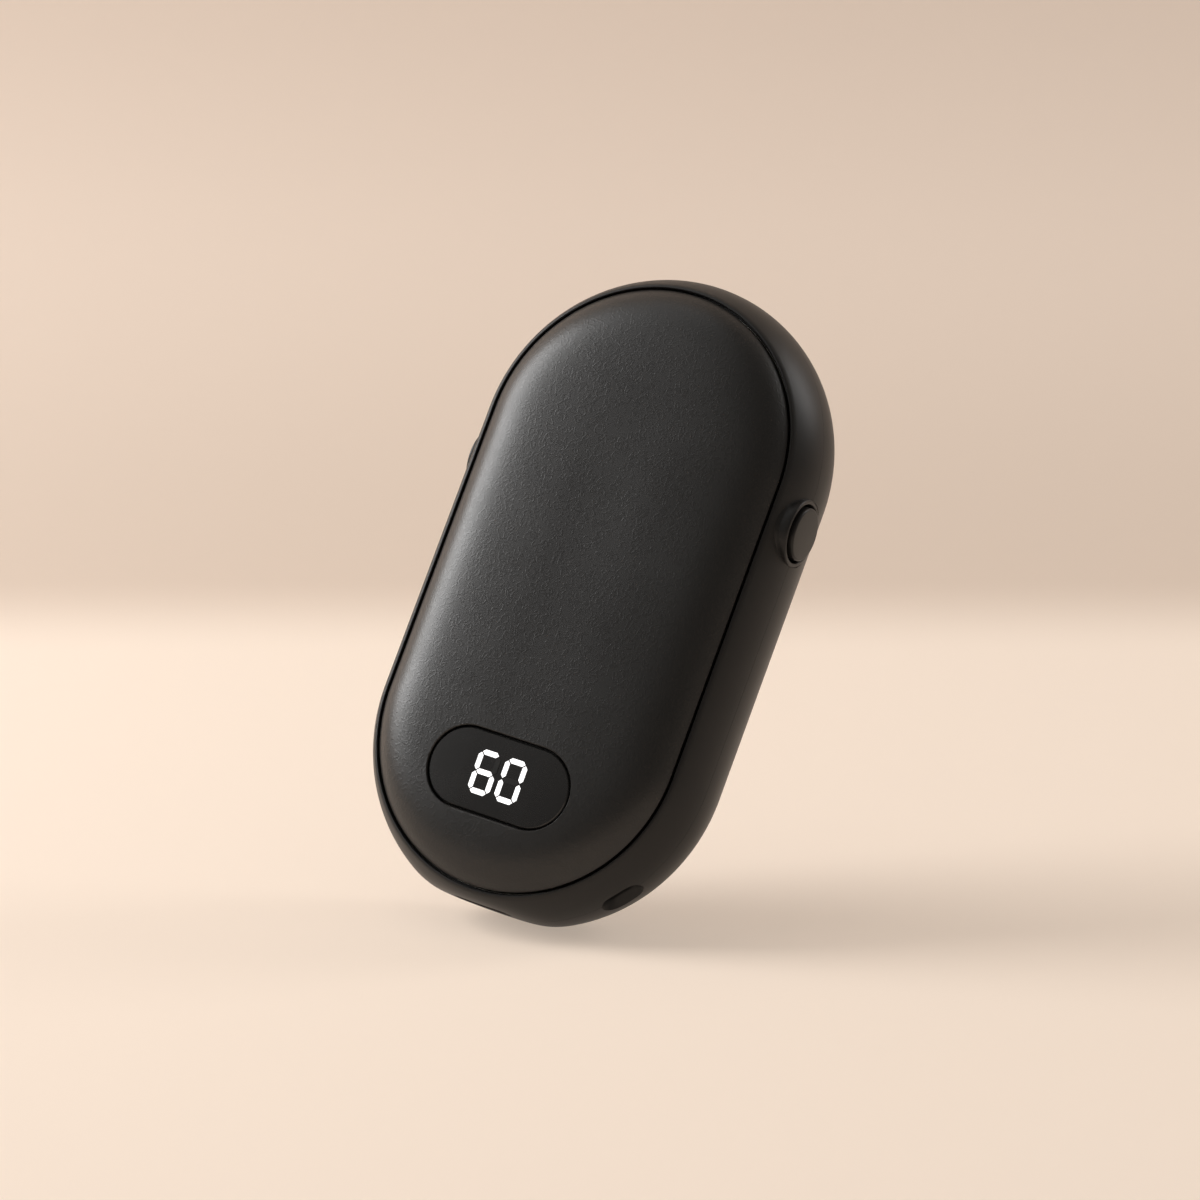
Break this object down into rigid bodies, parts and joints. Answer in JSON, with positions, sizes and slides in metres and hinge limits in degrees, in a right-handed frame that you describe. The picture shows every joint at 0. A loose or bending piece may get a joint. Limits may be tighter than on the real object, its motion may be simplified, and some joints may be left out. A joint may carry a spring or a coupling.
{
  "type": "rechargeable hand warmer",
  "caption": "Pocket hand warmer with two domed heating panels, an oval digit display, side push buttons, a charging socket and a wrist-strap eye.",
  "frame": {"origin": "centre of the whole body, midway between its front and rear crowns and its two round ends", "axes": "+Z along the body away from the display end, -Y out of the front panel that carries the display, +X out of the side with the power button"},
  "size_m": [0.0576, 0.025, 0.1],
  "materials": {
    "grained_panel": "soft-touch black with a fine leather-like mould grain",
    "housing": "smooth soft-touch matte black",
    "button": "smooth matte black",
    "display_lens": "polished smoked black",
    "digit_light": "lit white",
    "heat_plate": "rolled",
    "heater_film": "amber polyimide",
    "foam": "fine closed-cell foam",
    "adhesive_tape": "satin",
    "circuit_board": "green solder mask",
    "chip_resin": "moulded black resin",
    "steel": "nickel plated",
    "inner_plastic": "plain moulded",
    "plunger": "moulded",
    "cell_pouch": "satin pouch film",
    "lead_cover": "silicone"
  },
  "bodies": {
    "warmer_body": {"front_panel": "grained_panel", "rear_panel": "grained_panel", "front_panel_tape": "adhesive_tape", "rear_panel_tape": "adhesive_tape", "lens_tape": "adhesive_tape", "front_heat_plate": "heat_plate", "rear_heat_plate": "heat_plate", "front_heater_film": "heater_film", "rear_heater_film": "heater_film", "front_insulation": "foam", "rear_insulation": "foam", "battery_foam": "foam", "front_thermistor": "chip_resin", "rear_thermistor": "chip_resin", "display_lens": "display_lens", "digit_light_guide": "digit_light", "display_module": "chip_resin", "front_housing": "housing", "rear_housing": "housing", "battery_cradle": "inner_plastic", "main_pcb": "circuit_board", "controller_chip": "chip_resin", "charger_chip": "chip_resin", "power_inductor": "chip_resin", "usb_c_shell": "steel", "usb_c_tongue": "chip_resin", "battery_cell": "cell_pouch", "battery_leads": "lead_cover", "front_heater_leads": "lead_cover", "rear_heater_leads": "lead_cover", "power_button_collar": "housing", "mode_button_collar": "housing", "power_switch_body": "inner_plastic", "mode_switch_body": "inner_plastic", "case_screws": "steel", "pcb_screws": "steel", "strap_bar": "steel"},
    "power_button": {"power_button_cap": "button", "power_switch_plunger": "plunger"},
    "mode_button": {"mode_button_cap": "button", "mode_switch_plunger": "plunger"}
  },
  "joints": [
    {"name": "power_button_press", "type": "slide", "parent": "warmer_body", "child": "power_button", "axis": [-1, 0, 0], "range_m": [0, 0.0004], "stiffness_N_per_m": 3000, "springref_m": -0.0002},
    {"name": "mode_button_press", "type": "slide", "parent": "warmer_body", "child": "mode_button", "axis": [1, 0, 0], "range_m": [0, 0.0004], "stiffness_N_per_m": 3000, "springref_m": -0.0002}
  ]
}
